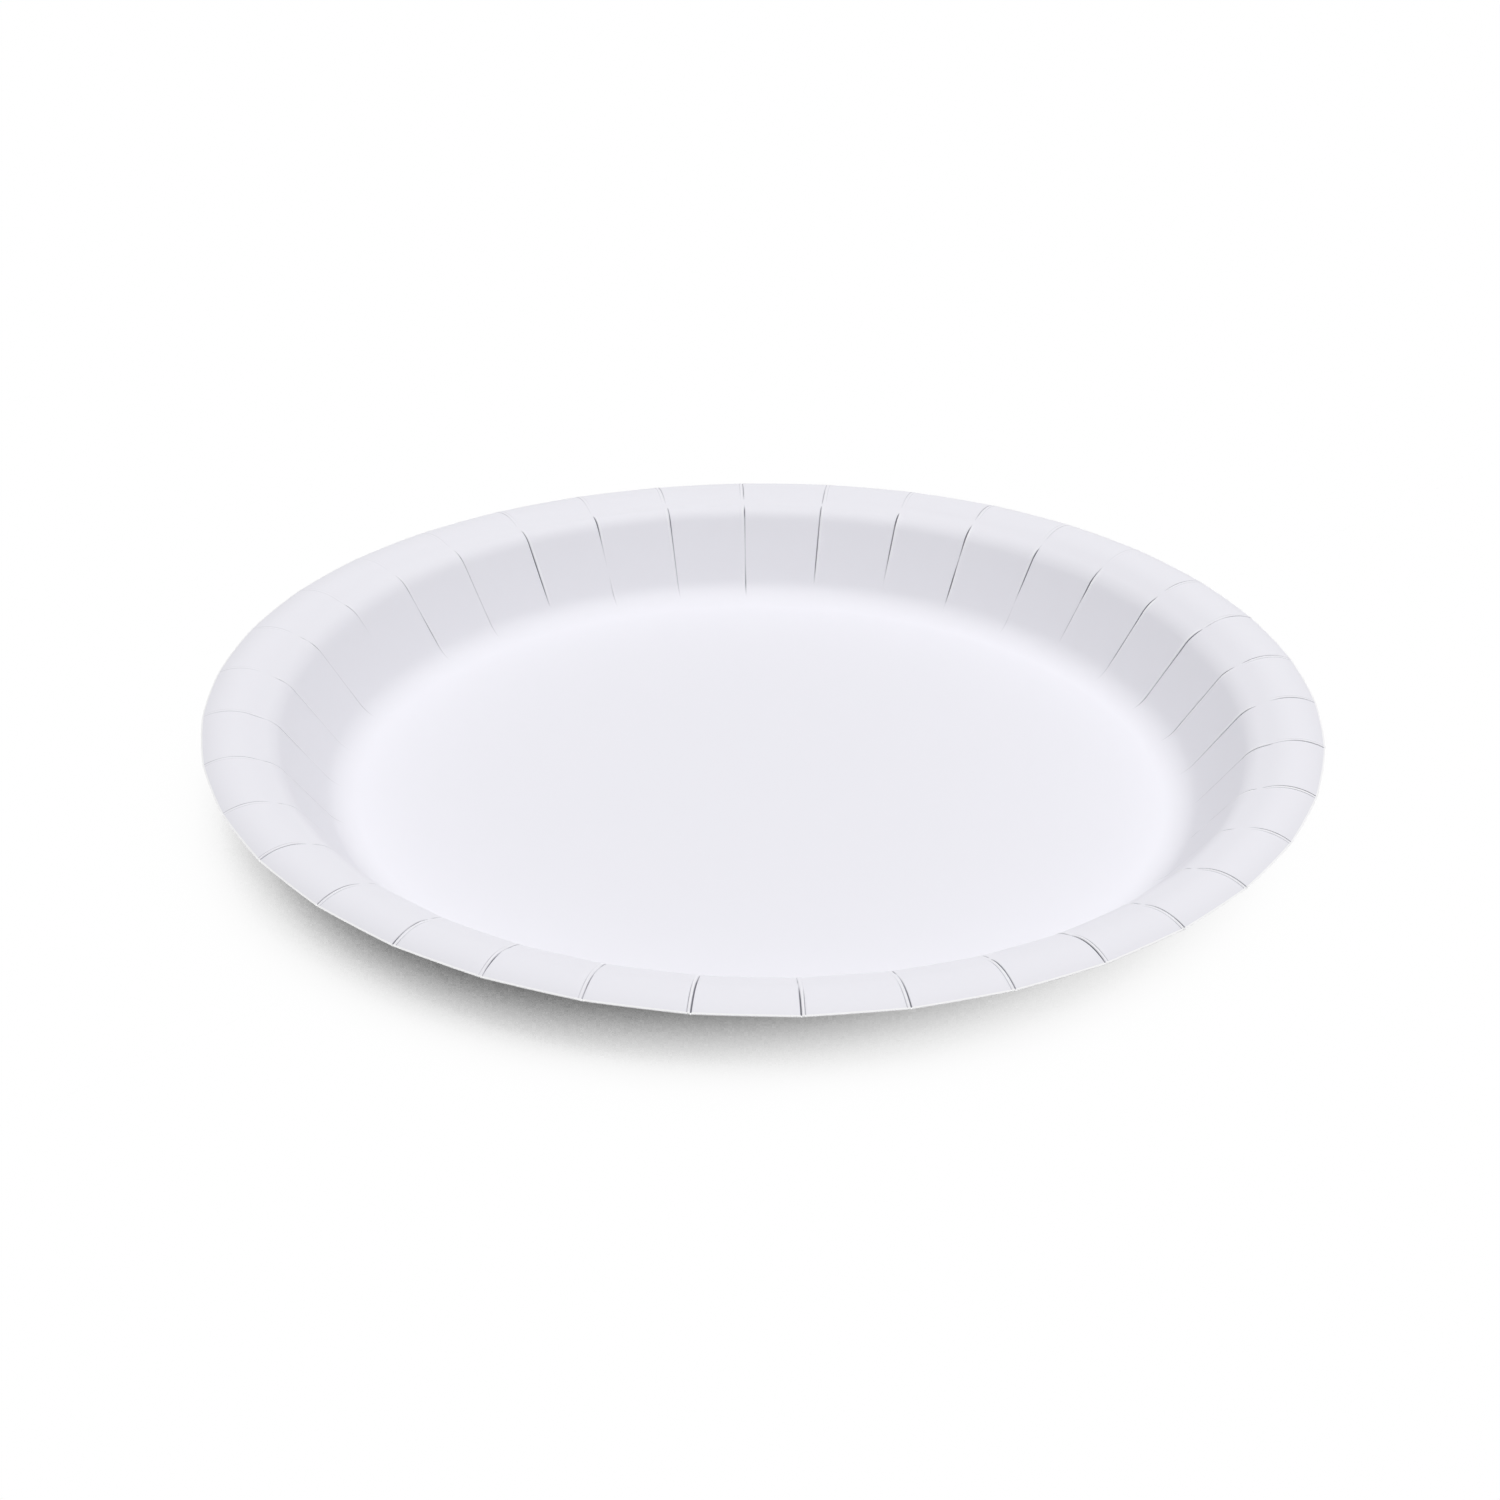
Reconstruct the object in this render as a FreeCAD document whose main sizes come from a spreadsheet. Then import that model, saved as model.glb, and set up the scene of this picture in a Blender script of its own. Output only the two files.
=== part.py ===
import FreeCAD, Part
import math
import os
import Sketcher

# A round paper plate, pressed from one disc of paperboard.
# Millimetres; +Z is up the plate's axis; the origin is the middle of the underside of the floor.
# The disc is scored all round its margin before it is pressed, and each score closes to a crease
# that runs from the foot of the wall, over the shoulder and the brim, to the cut edge.
# Board bends but doesn't stretch: the panel between two creases is straight from one to the other,
# so the outline has as many straight sides as there are creases.

doc = FreeCAD.newDocument("paper_plate")

# Driving sizes

sizes = {
    "plate_diameter": 229.0,        # across two opposite corners of the cut edge
    "overall_height": 19.2,         # underside of the floor to the top of the lip
    "board_thickness": 0.45,
    "margin_width": 32.0,           # from a corner of the cut edge in to the flat floor
    "foot_bend": 9.0,               # radius of the upper face between floor and wall
    "wall_angle": 52.0,             # wall above the horizontal
    "shoulder_bend": 4.4,           # radius of the upper face between wall and brim
    "brim_angle": 22.0,             # brim above the horizontal, rising outwards
    "lip_bend": 11.5,               # radius of the upper face where the brim turns down to the lip
    "lip_angle": 32.0,              # lip below the horizontal where the pressing ends
    "trim_margin": 0.5,             # pressed outside the cut edge, then cut away
    "crease_count": 36,
    "crease_width": 0.7,            # across the mouth
    "crease_depth": 0.2,
    "crease_reach": 14.0,           # angle by which a crease runs down the foot's bend
    "crease_fade": 5.0,             # radius on which its bottom then rises out of the board
}

sheet = doc.addObject("Spreadsheet::Sheet", "Sizes")
for row, (alias, value) in enumerate(sizes.items(), start=1):
    sheet.set(f"A{row}", alias)
    sheet.set(f"B{row}", str(value))
    sheet.setAlias(f"B{row}", alias)
doc.recompute()

body = doc.addObject("PartDesign::Body", "plate")
body.Label = "plate"

ZERO = FreeCAD.Vector(0, 0, 0)
UP = FreeCAD.Vector(0, 0, 1)
QUARTER = math.pi / 2

# Places on a sketch's elements, as its constraints count them
START, END, CENTRE = range(1, 4)
LEVEL_AXIS = -1
UPRIGHT_AXIS = -2
ORIGIN = (LEVEL_AXIS, START)


def plane(role):
    return next(feature for feature in body.Origin.OriginFeatures if feature.Role == role)


def size(formula):
    """A size of the sheet, or a formula of such sizes, as a number."""
    return float(sheet.evalExpression(formula))


class Sketch:
    """A sketch of the plate's body, whose dimensions are bound to the sheet."""

    def __init__(self, name, support, mode="FlatFace"):
        self.object = body.newObject("Sketcher::SketchObject", name)
        self.object.AttachmentSupport = support
        self.object.MapMode = mode
        doc.recompute()

    def line(self, start, end, construction=False):
        return self.object.addGeometry(Part.LineSegment(start, end), construction)

    def circle(self, centre, radius):
        return self.object.addGeometry(Part.Circle(centre, UP, radius), False)

    def arc(self, centre, radius, low, high):
        """Anticlockwise from the direction low to the direction high, in radians."""
        circle = Part.Circle(centre, UP, radius)
        return self.object.addGeometry(Part.ArcOfCircle(circle, low, high), False)

    def triangle(self, *corners):
        """Three sides; each starts at its own corner and ends at the next."""
        sides = [self.line(corners[i], corners[(i + 1) % 3]) for i in range(3)]
        for i in range(3):
            self.hold("Coincident", sides[i], END, sides[(i + 1) % 3], START)
        return sides

    def hold(self, kind, *places):
        """A constraint without a size."""
        self.object.addConstraint(Sketcher.Constraint(kind, *places))

    def measure(self, kind, *places, by):
        """A constraint whose size is a formula of the sheet, in degrees for an angle."""
        value = math.radians(size(by)) if kind == "Angle" else size(by)
        index = self.object.addConstraint(Sketcher.Constraint(kind, *places, value))
        formula = f"({by}) * 1 deg" if kind == "Angle" else by
        self.object.setExpression(f"Constraints[{index}]", formula)


# The section
# X is the distance from the axis. A heading is an angle above the horizontal, going outwards.
# The places worked out here only start the sketches off, and their constraints hold them.
# A panel is straight, so what lies at one distance in the middle of it lies further out at a mitre.

HALF_PITCH = "180 / Sizes.crease_count"
AT_MIDDLE = "1"
AT_MITRE = f"1 / cos({HALF_PITCH} * 1 deg)"
EDGE_RADIUS = f"Sizes.plate_diameter / 2 * cos({HALF_PITCH} * 1 deg)"
FLOOR_RADIUS = "Sizes.plate_diameter / 2 - Sizes.margin_width"
FOOT_CENTRE = (FLOOR_RADIUS, "Sizes.board_thickness + Sizes.foot_bend")
LIP_CENTRE = (
    f"{EDGE_RADIUS} + Sizes.trim_margin - Sizes.lip_bend * sin(Sizes.lip_angle * 1 deg)",
    "Sizes.overall_height - Sizes.lip_bend",
)
WALL = math.radians(size("Sizes.wall_angle"))
BRIM = math.radians(size("Sizes.brim_angle"))
LIP = -math.radians(size("Sizes.lip_angle"))


def along(heading):
    return FreeCAD.Vector(math.cos(heading), math.sin(heading), 0)


def normal(heading):
    """Away from the board's upper face."""
    return FreeCAD.Vector(-math.sin(heading), math.cos(heading), 0)


def cross(a, b):
    return a.x * b.y - a.y * b.x


def bend_centres(where):
    """Centres of the foot's, the shoulder's and the lip's bends."""
    foot = FreeCAD.Vector(*map(size, FOOT_CENTRE))
    lip = FreeCAD.Vector(*map(size, LIP_CENTRE))
    foot.x *= size(where)
    lip.x *= size(where)
    foot_to_shoulder = normal(WALL) * -size("Sizes.foot_bend + Sizes.shoulder_bend")
    shoulder_to_lip = normal(BRIM) * size("Sizes.shoulder_bend - Sizes.lip_bend")
    straights = lip - foot - foot_to_shoulder - shoulder_to_lip
    wall_length = cross(straights, along(BRIM)) / cross(along(WALL), along(BRIM))
    shoulder = foot + foot_to_shoulder + along(WALL) * wall_length
    return foot, shoulder, lip


class Face:
    """The pressed part of the board at a depth below its upper face, from the foot outwards."""

    def __init__(self, sketch, depth, where=AT_MIDDLE, foot_heading=0.0):
        foot_bend = size(f"Sizes.foot_bend + ({depth})")
        shoulder_bend = size(f"Sizes.shoulder_bend - ({depth})")
        lip_bend = size(f"Sizes.lip_bend - ({depth})")
        foot_centre, shoulder_centre, lip_centre = bend_centres(where)
        self.foot_start = foot_centre - normal(foot_heading) * foot_bend
        self.lip_end = lip_centre + normal(LIP) * lip_bend
        wall_start = foot_centre - normal(WALL) * foot_bend
        wall_end = shoulder_centre + normal(WALL) * shoulder_bend
        brim_start = shoulder_centre + normal(BRIM) * shoulder_bend
        brim_end = lip_centre + normal(BRIM) * lip_bend

        self.foot = sketch.arc(foot_centre, foot_bend, foot_heading - QUARTER, WALL - QUARTER)
        wall = sketch.line(wall_start, wall_end)
        shoulder = sketch.arc(shoulder_centre, shoulder_bend, BRIM + QUARTER, WALL + QUARTER)
        brim = sketch.line(brim_start, brim_end)
        self.lip = sketch.arc(lip_centre, lip_bend, LIP + QUARTER, BRIM + QUARTER)
        lip_spoke = sketch.line(lip_centre, self.lip_end, construction=True)

        sketch.hold("Tangent", self.foot, END, wall, START)
        sketch.hold("Tangent", wall, END, shoulder, END)
        sketch.hold("Tangent", shoulder, START, brim, START)
        sketch.hold("Tangent", brim, END, self.lip, END)
        sketch.hold("Coincident", lip_spoke, START, self.lip, CENTRE)
        sketch.hold("Coincident", lip_spoke, END, self.lip, START)
        sketch.measure("DistanceX", *ORIGIN, self.foot, CENTRE, by=f"({FOOT_CENTRE[0]}) * {where}")
        sketch.measure("DistanceY", *ORIGIN, self.foot, CENTRE, by=FOOT_CENTRE[1])
        sketch.measure("DistanceX", *ORIGIN, self.lip, CENTRE, by=f"({LIP_CENTRE[0]}) * {where}")
        sketch.measure("DistanceY", *ORIGIN, self.lip, CENTRE, by=LIP_CENTRE[1])
        sketch.measure("Radius", self.foot, by=f"Sizes.foot_bend + ({depth})")
        sketch.measure("Radius", shoulder, by=f"Sizes.shoulder_bend - ({depth})")
        sketch.measure("Radius", self.lip, by=f"Sizes.lip_bend - ({depth})")
        sketch.measure("Angle", wall, by="Sizes.wall_angle")
        sketch.measure("Angle", brim, by="Sizes.brim_angle")
        sketch.measure("Angle", lip_spoke, by="90 - Sizes.lip_angle")


def floor_line(sketch, face, height):
    """The floor's face, from the axis to the foot."""
    line = sketch.line(FreeCAD.Vector(0, height, 0), face.foot_start)
    sketch.hold("Horizontal", line)
    sketch.hold("Tangent", line, END, face.foot, START)
    return line


section = Sketch("section", [(plane("XZ_Plane"), "")])
upper = Face(section, "0")
under = Face(section, "Sizes.board_thickness")
upper_floor = floor_line(section, upper, size("Sizes.board_thickness"))
under_floor = floor_line(section, under, 0.0)
axis_side = section.line(ZERO, FreeCAD.Vector(0, size("Sizes.board_thickness"), 0))
edge_side = section.line(under.lip_end, upper.lip_end)
section.hold("Coincident", axis_side, START, under_floor, START)
section.hold("Coincident", axis_side, END, upper_floor, START)
section.hold("PointOnObject", axis_side, START, UPRIGHT_AXIS)
section.hold("PointOnObject", axis_side, END, UPRIGHT_AXIS)
section.hold("Coincident", edge_side, START, under.lip, START)
section.hold("Coincident", edge_side, END, upper.lip, START)
doc.recompute()

# One panel: the section is drawn out along the panel, then cut off at both creases and at the edge

drawn_out = body.newObject("PartDesign::Pad", "drawn_out")
drawn_out.Profile = section.object
drawn_out.Midplane = True
drawn_out.setExpression("Length", f"2 * Sizes.plate_diameter * tan({HALF_PITCH} * 1 deg)")
doc.recompute()

outline = Sketch("panel_outline", [(plane("XY_Plane"), "")])
corner = FreeCAD.Vector(size(EDGE_RADIUS), 0, 0)
corner.y = corner.x * math.tan(math.radians(size(HALF_PITCH)))
other_corner = FreeCAD.Vector(corner.x, -corner.y, 0)
other_mitre, cut_edge = outline.triangle(ZERO, other_corner, corner)[:2]
outline.hold("Coincident", other_mitre, START, *ORIGIN)
outline.hold("Symmetric", cut_edge, START, cut_edge, END, LEVEL_AXIS)
outline.measure("Angle", other_mitre, by=f"-{HALF_PITCH}")
outline.measure("DistanceX", *ORIGIN, cut_edge, START, by=EDGE_RADIUS)
waste = outline.circle(ZERO, size("Sizes.plate_diameter"))
outline.hold("Coincident", waste, CENTRE, *ORIGIN)
outline.measure("Radius", waste, by="Sizes.plate_diameter")
doc.recompute()

mitred = body.newObject("PartDesign::Pocket", "mitred")
mitred.Profile = outline.object
mitred.Type = "ThroughAll"
mitred.Midplane = True
doc.recompute()

# Creases
# Each is a V pressed into the upper face along the mitre, and half of it lies in this panel.
# Its bottom follows the board from the lip down to the foot, and rises out of the board there.
# On the underside a crease is the corner between two panels.

CUT_HEIGHT = 2.5        # of the cutting V, in depths of the crease

path = Sketch("crease_path", [(plane("XZ_Plane"), "")])
turn = FreeCAD.Rotation(FreeCAD.Vector(0, 1, 0), size(HALF_PITCH))
path.object.AttachmentOffset = FreeCAD.Placement(ZERO, turn)
path.object.setExpression("AttachmentOffset.Rotation.Angle", f"({HALF_PITCH}) * 1 deg")
foot_heading = math.radians(size("Sizes.wall_angle - Sizes.crease_reach"))
bottom = Face(path, "Sizes.crease_depth", AT_MITRE, foot_heading)
foot_spoke = path.line(bend_centres(AT_MITRE)[0], bottom.foot_start, construction=True)
fade_radius = size("Sizes.crease_fade")
fade_centre = bottom.foot_start + normal(foot_heading) * fade_radius
fade = path.arc(fade_centre, fade_radius, -QUARTER, foot_heading - QUARTER)
path.hold("Coincident", foot_spoke, START, bottom.foot, CENTRE)
path.hold("Coincident", foot_spoke, END, bottom.foot, START)
path.hold("Tangent", fade, END, bottom.foot, START)
path.hold("Vertical", fade, START, fade, CENTRE)
path.measure("Angle", foot_spoke, by="Sizes.wall_angle - Sizes.crease_reach - 90")
path.measure("Radius", fade, by="Sizes.crease_fade")
doc.recompute()

start_of_path = [(path.object, "Edge1"), (path.object, "Vertex1")]
vee = Sketch("crease_section", start_of_path, "NormalToEdge")
half_mouth = size("Sizes.crease_width") / 2 * CUT_HEIGHT
mouth_height = size("Sizes.crease_depth") * CUT_HEIGHT
right = FreeCAD.Vector(half_mouth, mouth_height, 0)
left = FreeCAD.Vector(-half_mouth, mouth_height, 0)
slope, mouth = vee.triangle(ZERO, right, left)[:2]
vee.hold("Coincident", slope, START, *ORIGIN)
vee.hold("Symmetric", mouth, START, mouth, END, UPRIGHT_AXIS)
vee.measure("DistanceX", mouth, END, mouth, START, by=f"Sizes.crease_width * {CUT_HEIGHT}")
vee.measure("DistanceY", *ORIGIN, mouth, START, by=f"Sizes.crease_depth * {CUT_HEIGHT}")
doc.recompute()

crease = body.newObject("PartDesign::SubtractivePipe", "crease")
crease.Profile = vee.object
crease.Spine = (path.object, [])
doc.recompute()

both_creases = body.newObject("PartDesign::Mirrored", "both_creases")
both_creases.Originals = [crease]
both_creases.MirrorPlane = (plane("XZ_Plane"), [""])
body.Tip = both_creases
doc.recompute()
panel_volume = both_creases.Shape.Volume

# The whole plate: the panel, repeated round the axis

all_round = body.newObject("PartDesign::PolarPattern", "all_round")
all_round.TransformMode = "Whole shape"
all_round.Axis = (plane("Z_Axis"), [""])
all_round.Angle = 360
all_round.setExpression("Occurrences", "Sizes.crease_count")
body.Tip = all_round
doc.recompute()

# Checks and export

for item in doc.Objects:
    if "Invalid" in item.State or "Error" in item.State:
        raise RuntimeError(f"{item.Label} did not compute: {item.State}")
for sketch in doc.findObjects("Sketcher::SketchObject"):
    if not sketch.FullyConstrained:
        raise RuntimeError(f"{sketch.Label} is not fully constrained")
steps = [drawn_out, mitred, crease, both_creases]
volumes = [step.Shape.Volume for step in steps]
if volumes != sorted(volumes, reverse=True):
    raise RuntimeError(f"a cut removed nothing: {volumes}")
shape = body.Shape
if shape.isNull() or not shape.isValid() or len(shape.Solids) != 1:
    raise RuntimeError("the plate is not one valid solid")
if abs(shape.Volume / (panel_volume * size("Sizes.crease_count")) - 1) > 1e-4:
    raise RuntimeError("the panels don't make up the plate")

os.makedirs("parts", exist_ok=True)
shape.exportStep(f"parts/{body.Label}.step")
print(f"{body.Label}: {shape.Volume:.0f} mm3, {len(shape.Faces)} faces")
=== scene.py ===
import math

import bpy
import numpy as np
from mathutils import Matrix, Vector


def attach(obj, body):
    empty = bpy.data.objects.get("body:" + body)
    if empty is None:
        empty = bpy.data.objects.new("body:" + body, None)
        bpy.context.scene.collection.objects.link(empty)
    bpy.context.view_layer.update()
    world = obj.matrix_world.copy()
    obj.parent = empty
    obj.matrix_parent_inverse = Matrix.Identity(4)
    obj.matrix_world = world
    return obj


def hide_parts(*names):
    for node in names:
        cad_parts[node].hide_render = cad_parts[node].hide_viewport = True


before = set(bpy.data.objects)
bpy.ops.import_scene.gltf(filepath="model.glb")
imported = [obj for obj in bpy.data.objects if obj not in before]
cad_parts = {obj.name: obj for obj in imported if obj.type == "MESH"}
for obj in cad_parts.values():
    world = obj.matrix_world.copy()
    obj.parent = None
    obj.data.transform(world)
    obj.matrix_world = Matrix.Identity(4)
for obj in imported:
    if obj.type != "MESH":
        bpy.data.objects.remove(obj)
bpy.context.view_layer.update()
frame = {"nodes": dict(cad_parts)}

mm = 0.001
print("frame loaded:", ", ".join(frame["nodes"]))


# Camera, at the photograph's place

view = {
    "elevation": 28.74,     # degrees above the floor
    "azimuth": 1.97,        # degrees round from straight in front
    "roll": -0.694,         # degrees
    "distance": 6.948,      # in plate radii, along the line of sight
    "aside": 0.0223,        # how far the plate's origin lies right of the middle, in plate radii
    "above": -0.0677,       # and above it
    "radius": 114.5 * mm,   # of the plate
    "pixelsPerRadius": 552.1,
    "pictureSide": 1500,    # in pixels
    "sensorWidth": 36,      # in millimetres
    "nearest": 0.01,        # what the camera sees, from here
    "farthest": 20,
}


def addCamera(view):
    tilt, roll = math.radians(view["elevation"]), math.radians(view["roll"])
    forward = Vector((0, math.cos(tilt), -math.sin(tilt)))
    right = Vector((1, 0, 0))
    up = right.cross(forward)
    plateFromCamera = forward * view["distance"] + right * view["aside"] + up * view["above"]
    turnedRight = right * math.cos(roll) - up * math.sin(roll)
    turnedUp = right * math.sin(roll) + up * math.cos(roll)
    pose = Matrix((turnedRight, turnedUp, -forward)).transposed().to_4x4()
    pose.translation = -plateFromCamera * view["radius"]
    data = bpy.data.cameras.new("photographCamera")
    data.sensor_width = view["sensorWidth"]
    data.lens = data.sensor_width * view["pixelsPerRadius"] * view["distance"] / view["pictureSide"]
    data.clip_start, data.clip_end = view["nearest"], view["farthest"]
    camera = bpy.data.objects.new("photographCamera", data)
    camera.matrix_world = Matrix.Rotation(math.radians(view["azimuth"]), 4, "Z") @ pose
    bpy.context.scene.collection.objects.link(camera)
    bpy.context.scene.camera = camera


addCamera(view)
print("camera placed")


# Materials are written as sums on their sockets

class Value:
    # One output of a node. Arithmetic on it adds Math nodes.
    def __init__(self, finish, socket):
        self.finish = finish
        self.socket = socket

    def sum(self, operation, *values):
        return self.finish.node("ShaderNodeMath", {"operation": operation}, dict(enumerate(values)))

    def __add__(self, other): return self.sum("ADD", self, other)
    def __radd__(self, other): return self.sum("ADD", other, self)
    def __sub__(self, other): return self.sum("SUBTRACT", self, other)
    def __rsub__(self, other): return self.sum("SUBTRACT", other, self)
    def __mul__(self, other): return self.sum("MULTIPLY", self, other)
    def __rmul__(self, other): return self.sum("MULTIPLY", other, self)


class Finish:
    # The nodes of a material, or those of the world.
    def __init__(self, owner):
        owner.use_nodes = True
        self.owner = owner
        self.tree = owner.node_tree
        self.tree.nodes.clear()

    def node(self, kind, settings=None, sockets=None, output=0):
        made = self.tree.nodes.new(kind)
        for name, setting in (settings or {}).items():
            setattr(made, name, setting)
        for name, value in (sockets or {}).items():
            if isinstance(value, Value):
                self.tree.links.new(value.socket, made.inputs[name])
            else:
                made.inputs[name].default_value = value
        return Value(self, made.outputs[output] if made.outputs else None)

    def attribute(self, name):
        return self.node("ShaderNodeAttribute", {"attribute_name": name}, output="Fac")

    def noise(self, place, scale, detail, roughness):
        sockets = {"Vector": place, "Scale": scale, "Detail": detail, "Roughness": roughness}
        return self.node("ShaderNodeTexNoise", {"noise_dimensions": "3D"}, sockets)

    # a product kept between 0 and 1
    def clamped(self, first, second):
        settings = {"operation": "MULTIPLY", "use_clamp": True}
        return self.node("ShaderNodeMath", settings, {0: first, 1: second})

    # sockets 6 and 7 and output 2 of a Mix node are those for colours
    def blend(self, amount, first, second):
        settings = {"data_type": "RGBA", "blend_type": "MIX"}
        return self.node("ShaderNodeMix", settings, {0: amount, 6: first, 7: second}, output=2)


# The plate

plate = {
    "diameter": 229.0 * mm,         # across two opposite corners of the cut edge
    "height": 19.2 * mm,
    "board": 0.45 * mm,             # its thickness
    "margin": 32.0 * mm,            # from a corner of the cut edge in to the flat floor
    "footBend": 9.0 * mm,
    "wallAngle": 52.0,              # degrees above level
    "shoulderBend": 8.0 * mm,       # softer than the solid's, within 0.2 mm of it
    "brimAngle": 22.0,
    "lipBend": 11.5 * mm,
    "lipAngle": 32.0,               # degrees below level, at the end of the untrimmed lip
    "trim": 0.5 * mm,               # what is cut off the end of the lip
    "undercut": 0.3 * mm,           # how much further in the cut edge's lower border lies
    "highlightBorder": 0.35 * mm,        # along its upper border, a strip in the bare board's colour as a painted highlight
    "creases": 36,
    "round": [1.0, 1.0, 1.0, 0.8, 0.75, 0.75, 0.75],  # how round it is between creases, by reach
    "straightFront": 0.6,           # how much less round the panels nearest the camera are
    # where the rim is bent lower, or higher below 0: the direction in degrees, how much,
    # from and to which reach, and how narrowly
    "drops": [(270, 0.6 * mm, 4.0, 6.0, 2),
              (106, 1.5 * mm, 3.4, 5.2, 4),
              (42, -0.25 * mm, 3.4, 5.2, 4)],
    "floorRings": 5,
    "footRings": 11,
    "wallRings": 8,
    "shoulderRings": 11,
    "brimRings": 7,
    "lipRings": 13,
    "borderRings": 1,
    # columns of vertices: millimetres from a crease, and parts of what is left between those
    "acrossCrease": [0.0, 0.07, 0.14, 0.21, 0.31, 0.45, 0.6, 0.75, 0.9, 1.3, 3.0],
    "acrossPanel": [0.3, 0.7],
}

crease = {
    "dieOffset": (1.2 * mm, 0.7 * mm),      # of the scoring die's centre, to the right and back
    "stray": 0.0022,                        # spread of the creases' angles, in radians
    "halfWidth": 0.18 * mm,
    "depth": 0.3 * mm,
    "deepest": 1.1,                 # in depths, and a crease stronger than this is only darker
    "foldHeight": 0.12 * mm,        # of the fold that stands up on one side
    "foldPlace": 0.42 * mm,
    "foldWidth": 0.2 * mm,
    "foldLight": 0.7,
    "secondPlace": 0.75 * mm,       # the fold's other side, a finer line
    "secondHalfWidth": 0.15 * mm,
    "secondDepth": 0.12 * mm,
    "secondShade": 0.5,
    "secondStart": 4.5,             # on the reach, and it is whole one length further on
    "ridge": 0.1 * mm,              # under the board
    "ridgeWidth": 0.35 * mm,
    "ridgeShade": 0.2,
    "whole": (0.7, 1.1),            # the least and most that a crease shows as a whole
    # how strongly it shows at stops on the reach, where 0 or less is not at all
    "stops": [0, 1.5, 1.9, 2.3, 2.7, 3.1, 3.5, 3.9, 4.3, 4.8, 5.2, 5.6, 6.0],
    "least": [0, 0, -0.3, -0.2, -0.1, 0.3, 0.6, 0.1, -0.6, -0.7, 0.0, 0.4, 0.3],
    "most": [0, 0, 0.7, 1.1, 1.2, 1.4, 1.6, 1.4, 1.0, 0.9, 1.3, 1.5, 1.2],
    "lengths": [0, 0, 0, 0, 0, 1, 1, 1, 2, 2, 3, 3, 3],     # 0 the wall, 1 shoulder, 2 brim, 3 lip
    # how much each of these shows, in eight directions from the right round by the back
    "bySide": [[1.2, 1.0, 1.1, 1.0, 0.3, 0.6, 0.8, 0.8],
               [2.0, 1.7, 0.8, 0.6, 0.3, 0.5, 0.8, 1.2],
               [1.6, 0.0, 0.6, 0.0, 0.6, 0.6, 0.8, 0.7],
               [1.9, 0.1, 0.6, 0.1, 0.15, 0.9, 1.2, 1.3]],
    "seed": 36,
}


def alongHeading(heading):
    return np.stack([np.cos(heading), np.sin(heading)], -1)


def normalTo(heading):
    return np.stack([-np.sin(heading), np.cos(heading)], -1)


def cross(a, b):
    return a[0] * b[1] - a[1] * b[0]


# The board's face at a depth, in the upright plane through the middle of a panel: a level floor,
# the foot's arc up to the wall's heading, the wall, the shoulder's arc down to the brim's heading,
# the brim, and the lip's arc, which goes down until it meets the cut edge. The last of that arc is
# the border strip with the painted highlight. The cut edge lies further in at the under face, by
# the undercut.
# Gives distance from the axis, height, heading, and a reach that counts these lengths from 0 to 6,
# on which the highlight border strip is all 6.
def boardSection(plate, depth):
    wall, brim = np.radians(plate["wallAngle"]), np.radians(plate["brimAngle"])
    lipEnd = np.radians(plate["lipAngle"])
    corner = plate["diameter"] / 2
    edge = corner * np.cos(np.pi / plate["creases"])
    foot = np.array([corner - plate["margin"], plate["board"] + plate["footBend"]])
    lip = np.array([edge + plate["trim"] - plate["lipBend"] * np.sin(lipEnd),
                    plate["height"] - plate["lipBend"]])
    footToShoulder = -normalTo(wall) * (plate["footBend"] + plate["shoulderBend"])
    shoulderToLip = normalTo(brim) * (plate["shoulderBend"] - plate["lipBend"])
    straights = lip - foot - footToShoulder - shoulderToLip
    wallLength = (cross(straights, alongHeading(brim))
                  / cross(alongHeading(wall), alongHeading(brim)))
    shoulder = foot + footToShoulder + alongHeading(wall) * wallLength
    footBend = plate["footBend"] + depth
    shoulderBend, lipBend = plate["shoulderBend"] - depth, plate["lipBend"] - depth
    cutEnd = edge - plate["undercut"] if depth else edge
    cut = -np.arcsin((cutEnd - lip[0]) / lipBend)
    bare = cut + plate["highlightBorder"] / lipBend

    def steps(name):
        return np.arange(1, plate[name] + 1) / plate[name]

    def bend(centre, radius, first, last, name):
        heading = first + (last - first) * steps(name)
        return centre + radius * normalTo(heading), heading, steps(name)

    def straight(first, last, heading, name):
        along = steps(name)[:, None]
        return first + (last - first) * along, np.full(len(along), heading), steps(name)

    # the floor's rings are close together near the foot
    floorParts = (1 - (1 - steps("floorRings")) ** 2)[:, None]
    floorEnd = np.array([foot[0], foot[1] - footBend])
    lengths = [
        (np.array([0, floorEnd[1]]) + floorParts * [floorEnd[0], 0],
         np.zeros(len(floorParts)), steps("floorRings")),
        bend(foot, -footBend, 0.0, wall, "footRings"),
        straight(foot - normalTo(wall) * footBend, shoulder + normalTo(wall) * shoulderBend,
                 wall, "wallRings"),
        bend(shoulder, shoulderBend, wall, brim, "shoulderRings"),
        straight(shoulder + normalTo(brim) * shoulderBend, lip + normalTo(brim) * lipBend,
                 brim, "brimRings"),
        bend(lip, lipBend, brim, bare, "lipRings"),
        bend(lip, lipBend, bare, cut, "borderRings"),
    ]
    places = np.concatenate([length[0] for length in lengths])
    heading = np.concatenate([length[1] for length in lengths])
    reach = np.concatenate([i + length[2] for i, length in enumerate(lengths)])
    return places[:, 0], places[:, 1], heading, np.minimum(reach, len(lengths) - 1)


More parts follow.
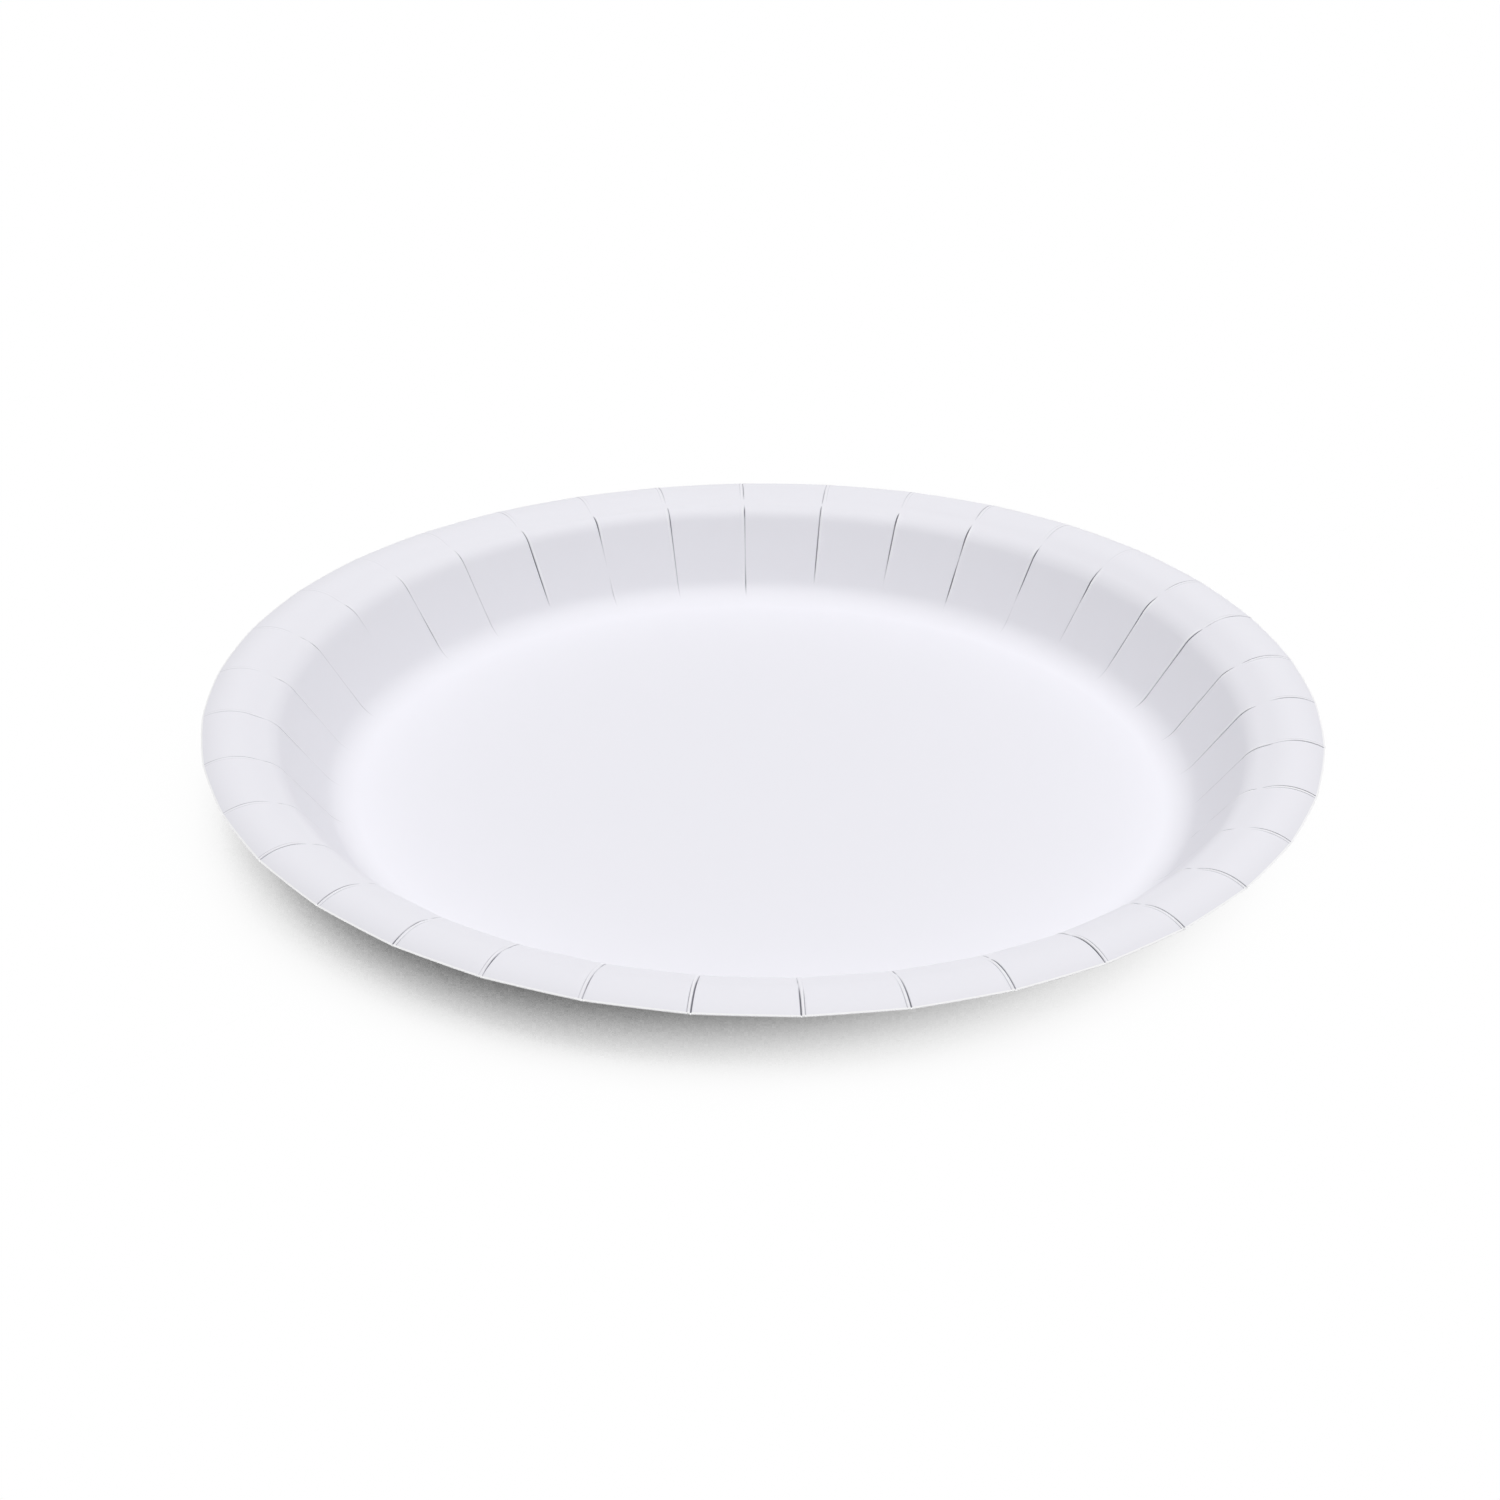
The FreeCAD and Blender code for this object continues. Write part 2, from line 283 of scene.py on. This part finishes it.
# Where the columns of vertices lie across each panel, for each ring: fixed distances from the
# crease at its start, the same from the crease at its end, and a few parts of the length between.
# On the floor all of them draw together in proportion to the distance from the axis.
def columnPlaces(plate, corner, width):
    near = np.array(plate["acrossCrease"]) * mm
    floorRadius = plate["diameter"] / 2 - plate["margin"]
    near = near * np.minimum(1, corner / floorRadius)[:, None, None]
    fromStart = np.broadcast_to(near, width.shape + near.shape[-1:])
    fromEnd = width[..., None] - near[..., :0:-1]
    parts = np.array(plate["acrossPanel"])
    between = fromStart[..., -1:] * (1 - parts) + fromEnd[..., :1] * parts
    return np.concatenate([fromStart, between, fromEnd], -1)


# The angle of each crease: an even pitch about the scoring die's centre, which lies a little off
# the plate's axis, and a small difference of its own.
def creaseAngles(plate, crease):
    count = plate["creases"]
    even = (np.arange(count) - 0.5) * 2 * np.pi / count
    aside, back = crease["dieOffset"]
    draw = np.random.default_rng(crease["seed"] + 2)
    offset = (back * np.cos(even) - aside * np.sin(even)) / (plate["diameter"] / 2)
    return even + offset + draw.normal(0, crease["stray"], count)


# How strongly each crease shows along its reach: nothing on the floor, then values drawn for each
# crease up the wall, on the shoulder, on the brim and on the lip, joined by straight lines. By its
# direction each of these lengths shows more or less, and some creases are weaker as a whole.
def creaseStrength(plate, crease, reach, angles):
    draw = np.random.default_rng(crease["seed"])
    count = plate["creases"]
    least, most = np.array(crease["least"]), np.array(crease["most"])
    whole = draw.uniform(*crease["whole"], (count, 1))
    values = (least + (most - least) * draw.random((count, len(least)))) * whole
    turn = np.arange(9) * np.pi / 4     # the eight directions, and the first again
    bySide = [np.interp(angles % (2 * np.pi), turn, side + side[:1]) for side in crease["bySide"]]
    values = values * np.array(bySide)[crease["lengths"]].T
    return np.maximum(0, np.stack([np.interp(reach, crease["stops"], row) for row in values]))


# How far the creases push each point up, square to the board, and how much painted shade it gets
# in a crease, below 0 for painted light on a fold. The upper face has a V with a low round fold on
# one side of it, and towards the cut edge a finer V beyond the fold, each with painted shade, and
# painted light on the fold. The under face has a low round ridge, pushed down, with a little
# painted shade. The gap is the signed distance from the crease, and the hand says on which side the
# fold is.
def creasePush(crease, depth, reach, gap, hand, force):
    press = np.minimum(force, crease["deepest"])
    if depth:
        ridge = np.exp(-(gap / crease["ridgeWidth"]) ** 2)
        return -press * crease["ridge"] * ridge, crease["ridgeShade"] * force * ridge
    beside = gap * hand
    vee = np.clip(1 - np.abs(gap) / crease["halfWidth"], 0, 1)
    fold = np.exp(-((beside - crease["foldPlace"]) / crease["foldWidth"]) ** 2)
    second = 1 - np.abs(beside - crease["secondPlace"]) / crease["secondHalfWidth"]
    second = np.clip(second, 0, 1)
    lip = np.clip(reach - crease["secondStart"], 0, 1)[:, None, None]
    push = press * (crease["foldHeight"] * fold - crease["depth"] * vee)
    push = push - press * lip * crease["secondDepth"] * second
    shade = vee + crease["secondShade"] * second * lip - crease["foldLight"] * fold
    return push, force * shade


# The height of each point once the rim is bent: each bend is greatest in its own direction, falls
# off with the cosine of the angle from it to a power, and comes on along the reach by a smooth
# step, three times the square less twice the cube.
def bentRim(plate, reach, angle, up):
    for direction, most, first, last, narrowness in plate["drops"]:
        along = np.clip((reach - first) / (last - first), 0, 1)[:, None, None]
        across = np.clip(np.cos(angle - np.radians(direction)), 0, 1) ** narrowness
        up = up - most * across * along ** 2 * (3 - 2 * along)
    return up


# A panel's point lies as far out as the section says and as far aside as its column says, which
# makes the panel straight from crease to crease; where it is round, its distance from the axis is
# drawn to that of the creases. Each crease runs along the column where one panel ends and the next
# begins, and pushes the points near it square to the board. Last the rim is bent.
# Gives the points, and each point's painted shade in a crease, below 0 for painted light on a fold.
def plateFace(plate, crease, depth, strength, hands, angles):
    distance, height, heading, reach = boardSection(plate, depth)
    corner = distance / np.cos(np.pi / plate["creases"])
    ends = np.append(angles[1:], angles[0] + 2 * np.pi)
    half, middle = (ends - angles) / 2, (ends + angles) / 2
    width = 2 * corner[:, None] * np.sin(half)
    columns = columnPlaces(plate, corner, width)
    distance = (corner[:, None] * np.cos(half))[..., None]
    aside = columns - width[..., None] / 2
    front = np.clip(-np.sin(middle), 0, 1)[:, None] * plate["straightFront"]
    stops = np.arange(len(plate["round"]))
    roundness = np.interp(reach, stops, plate["round"])[:, None, None] * (1 - front)
    far = np.hypot(distance, aside) * (1 - roundness) + corner[:, None, None] * roundness
    angle = middle[None, :, None] + np.arctan2(aside, distance)

    # by the nearer of the panel's two creases
    fromEnd = width[..., None] - columns
    nearStart = columns <= fromEnd
    gap = np.where(nearStart, columns, -fromEnd)
    force = np.where(nearStart, strength.T[..., None], np.roll(strength, -1, 0).T[..., None])
    hand = np.where(nearStart, hands[:, None], np.roll(hands, -1)[:, None])
    push, shade = creasePush(crease, depth, reach, gap, hand, force)

    far = far - push * np.sin(heading)[:, None, None]
    up = height[:, None, None] + push * np.cos(heading)[:, None, None]
    up = bentRim(plate, reach, angle, up)
    points = np.stack([far * np.cos(angle), far * np.sin(angle), up], -1)
    return points.reshape(len(reach), -1, 3), shade.ravel()


# Quads between rings a and b of vertex numbers, each closed on itself, as one array.
def strip(a, b):
    return np.stack([a, np.roll(a, -1), np.roll(b, -1), b], -1)


# The faces as arrays of vertex numbers. The quads are the upper face ring by ring, the under face
# and the cut edge between their last rings. The triangles close the middle of both faces.
def boardFaces(upper, under, upperPole, underPole):
    rings, around = upper.shape
    upperQuads = [strip(upper[i + 1], upper[i]) for i in range(rings - 1)]
    underQuads = [strip(under[i], under[i + 1]) for i in range(rings - 1)]
    edgeQuads = strip(under[-1], upper[-1])
    upperFan = np.stack([np.full(around, upperPole), upper[0], np.roll(upper[0], -1)], -1)
    underFan = np.stack([np.full(around, underPole), np.roll(under[0], -1), under[0]], -1)
    quads = np.concatenate(upperQuads + underQuads + [edgeQuads])
    return quads, np.concatenate([upperFan, underFan])


def buildPlate(plate, crease):
    reach = boardSection(plate, 0)[3]
    angles = creaseAngles(plate, crease)
    strength = creaseStrength(plate, crease, reach, angles)
    sides = np.random.default_rng(crease["seed"] + 1).random(plate["creases"])
    hands = np.where(sides < 0.5, -1, 1)    # on which side of each crease its fold stands
    upper, upperShade = plateFace(plate, crease, 0, strength, hands, angles)
    under, underShade = plateFace(plate, crease, plate["board"], strength, hands, angles)
    rings, around = upper.shape[:2]
    points = np.concatenate([upper.reshape(-1, 3), under.reshape(-1, 3),
                             [[0, 0, plate["board"]], [0, 0, 0]]])
    upperNumbers = np.arange(rings * around).reshape(rings, around)
    underNumbers = upperNumbers + rings * around
    quads, triangles = boardFaces(upperNumbers, underNumbers, len(points) - 2, len(points) - 1)

    mesh = bpy.data.meshes.new("paperPlate")
    mesh.vertices.add(len(points))
    mesh.vertices.foreach_set("co", points.ravel())
    corners = np.concatenate([quads.ravel(), triangles.ravel()])
    starts = np.concatenate([np.arange(len(quads)) * 4,
                             len(quads) * 4 + np.arange(len(triangles)) * 3])
    mesh.loops.add(len(corners))
    mesh.loops.foreach_set("vertex_index", corners)
    mesh.polygons.add(len(starts))
    mesh.polygons.foreach_set("loop_start", starts)
    mesh.polygons.foreach_set("use_smooth", np.ones(len(starts), dtype=bool))
    mesh.update(calc_edges=True)
    mesh.validate()

    # both borders of the cut edge are sharp
    ends = np.empty(len(mesh.edges) * 2, dtype=np.int32)
    mesh.edges.foreach_get("vertices", ends)
    border = np.zeros(len(points), dtype=np.int8)
    border[upperNumbers[-1]] = 1
    border[underNumbers[-1]] = 2
    ends = border[ends.reshape(-1, 2)]
    sharp = (ends[:, 0] > 0) & (ends[:, 0] == ends[:, 1])
    mesh.attributes.new("sharp_edge", "BOOLEAN", "EDGE").data.foreach_set("value", sharp)

    # where the bare board's colour goes: 1 on the cut edge, and on the border strip of the upper
    # face as a painted highlight
    strips = rings - 1
    bare = np.zeros(len(starts), dtype=np.float32)
    bare[(strips - plate["borderRings"]) * around:strips * around] = 1
    bare[2 * strips * around:len(quads)] = 1
    mesh.attributes.new("cutEdge", "FLOAT", "FACE").data.foreach_set("value", bare)

    # and each vertex's painted shade in a crease, below 0 for painted light on a fold
    shade = np.concatenate([upperShade, underShade, [0, 0]]).astype(np.float32)
    mesh.attributes.new("crease", "FLOAT", "POINT").data.foreach_set("value", shade)

    piece = bpy.data.objects.new("paperPlate", mesh)
    bpy.context.scene.collection.objects.link(piece)
    print("plate:", len(mesh.vertices), "vertices,", len(mesh.polygons), "faces")
    return piece


board = {
    "coated": (0.835, 0.83, 0.88, 1),
    "coatedLow": (0.828, 0.824, 0.874, 1),
    # the bare board's colour, lighter than the coat as a painted highlight along the cut
    "bareAndHighlight": (0.96, 0.96, 0.97, 1),
    # painted light on the fold beside each crease
    "paintedFoldLight": (0.95, 0.945, 0.97, 1),
    # painted shade at the bottom of each crease
    "paintedCreaseShade": (0.17, 0.17, 0.20, 1),
    "creaseShade": 1.7,
    "roughness": 0.55,
    "glossSpread": 0.12,            # how much the grain changes the roughness
    "rawRoughness": 0.3,            # how much rougher the bare board is
    "refraction": 1.45,             # of the coat
    "specular": 0.3,
    "cloudScale": 26.0,             # per metre
    "cloudRoughness": 0.5,
    "cloudHeight": 0.4,             # beside the fibres'
    "fibreScale": 900.0,
    "fibreRoughness": 0.6,
    "fibreHeight": 0.004 * mm,
    "noiseDetail": 3.0,
}


# White coated board: a faint cloudiness in its white, a very low fibre grain under the coat,
# a soft gloss that varies a little, painted light on the folds and painted shade in the creases,
# and the bare board's colour on the cut edge and on a strip along it, lighter as a painted
# highlight.
def coatedBoard(board):
    finish = Finish(bpy.data.materials.new("coatedBoard"))
    place = finish.node("ShaderNodeTexCoord", output="Object")
    # the cut edge, and the strip along its upper border with the painted highlight
    cut = finish.attribute("cutEdge")
    clouds = finish.noise(place, board["cloudScale"], board["noiseDetail"], board["cloudRoughness"])
    fibres = finish.noise(place, board["fibreScale"], board["noiseDetail"], board["fibreRoughness"])
    white = finish.blend(clouds, board["coatedLow"], board["coated"])
    # how much painted shade each point gets in a crease, below 0 for painted light on a fold
    depth = finish.attribute("crease")
    shade = finish.clamped(depth, board["creaseShade"])
    light = finish.clamped(depth, -1.0)
    shadedCreases = finish.blend(shade, finish.blend(light, white, board["paintedFoldLight"]), board["paintedCreaseShade"])
    colour = finish.blend(cut, shadedCreases, board["bareAndHighlight"])
    roughness = (board["roughness"] + (fibres - 0.5) * board["glossSpread"]
                 + cut * board["rawRoughness"])
    bump = finish.node("ShaderNodeBump", {}, {
        "Strength": 1.0, "Distance": board["fibreHeight"],
        "Height": fibres + clouds * board["cloudHeight"]})
    shader = finish.node("ShaderNodeBsdfPrincipled", {}, {
        "Base Color": colour, "Roughness": roughness, "Normal": bump,
        "IOR": board["refraction"], "Specular IOR Level": board["specular"]})
    finish.node("ShaderNodeOutputMaterial", {}, {"Surface": shader})
    return finish.owner


paperPlate = buildPlate(plate, crease)
paperPlate.data.materials.append(coatedBoard(board))
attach(paperPlate, "root")
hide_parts("plate")
print("plate finished")


# Floor, light and surroundings

studio = {
    "floorSide": 8.0,
    "floorWhite": (0.85, 0.85, 0.85, 1),
    "shadowReach": 64 * mm,             # how far away from the plate the floor is darker
    "shadowLean": (0.34, 0.07, 0.93),   # the heading about which its openness is taken
    "shadowSamples": 16,
    "shadowDepth": 0.97,
    "shadowFall": 10.6,                 # how fast the darkness goes as the floor opens
    "sky": 0.07,                        # its light on the plate, beside the 1 that is seen
    "softboxPower": 65.8,               # in watts
    "softboxSide": 1.8,
    "softboxPlace": (0.15, -0.06, 2.5),
}


# The floor reflects as matt white. To the camera it glows with a strength of 1, less e to the power
# of a depth minus a fall times the openness. The openness is 1 where nothing stands over a place,
# and is taken about a leaning heading, because the photograph's shadow lies to one side.
def addFloor(studio):
    half = studio["floorSide"] / 2
    corners = [(-half, -half, 0), (half, -half, 0), (half, half, 0), (-half, half, 0)]
    mesh = bpy.data.meshes.new("floor")
    mesh.from_pydata(corners, [], [(0, 1, 2, 3)])
    floor = bpy.data.objects.new("floor", mesh)
    bpy.context.scene.collection.objects.link(floor)
    finish = Finish(bpy.data.materials.new("whiteFloor"))
    matt = finish.node("ShaderNodeBsdfDiffuse", {}, {"Color": studio["floorWhite"]})
    lean = finish.node("ShaderNodeCombineXYZ", {}, dict(enumerate(studio["shadowLean"])))
    openness = finish.node("ShaderNodeAmbientOcclusion", {"samples": studio["shadowSamples"]},
                           {"Distance": studio["shadowReach"], "Normal": lean}, output="AO")
    power = studio["shadowDepth"] - openness * studio["shadowFall"]
    dark = power.sum("EXPONENT", power)
    glow = finish.node("ShaderNodeEmission", {}, {"Strength": dark.sum("MAXIMUM", 1 - dark, 0.0)})
    seen = finish.node("ShaderNodeLightPath", output="Is Camera Ray")
    mixed = finish.node("ShaderNodeMixShader", {}, {0: seen, 1: matt, 2: glow})
    finish.node("ShaderNodeOutputMaterial", {}, {"Surface": mixed})
    mesh.materials.append(finish.owner)


# The sky lights the plate faintly and evenly, and is seen as white by the camera and in
# reflections.
def addSky(studio):
    finish = Finish(bpy.data.worlds.new("whiteSky"))
    seen = finish.node("ShaderNodeLightPath", output="Is Camera Ray")
    mirrored = finish.node("ShaderNodeLightPath", output="Is Glossy Ray")
    through = finish.node("ShaderNodeLightPath", output="Is Transmission Ray")
    shown = seen.sum("MAXIMUM", seen, mirrored.sum("MAXIMUM", mirrored, through))
    strength = studio["sky"] + shown * (1 - studio["sky"])
    sky = finish.node("ShaderNodeBackground", {}, {"Color": (1, 1, 1, 1), "Strength": strength})
    finish.node("ShaderNodeOutputWorld", {}, {"Surface": sky})
    bpy.context.scene.world = finish.owner


# A square lamp above the plate, turned to shine at the origin.
def addSoftbox(studio):
    data = bpy.data.lights.new("softbox", "AREA")
    data.shape = "SQUARE"
    data.size = studio["softboxSide"]
    data.energy = studio["softboxPower"]
    lamp = bpy.data.objects.new("softbox", data)
    lamp.location = studio["softboxPlace"]
    lamp.rotation_euler = Vector(studio["softboxPlace"]).to_track_quat("Z", "Y").to_euler()
    bpy.context.scene.collection.objects.link(lamp)


addFloor(studio)
addSky(studio)
addSoftbox(studio)
bpy.context.scene.view_settings.view_transform = "Standard"
print("floor and light placed")
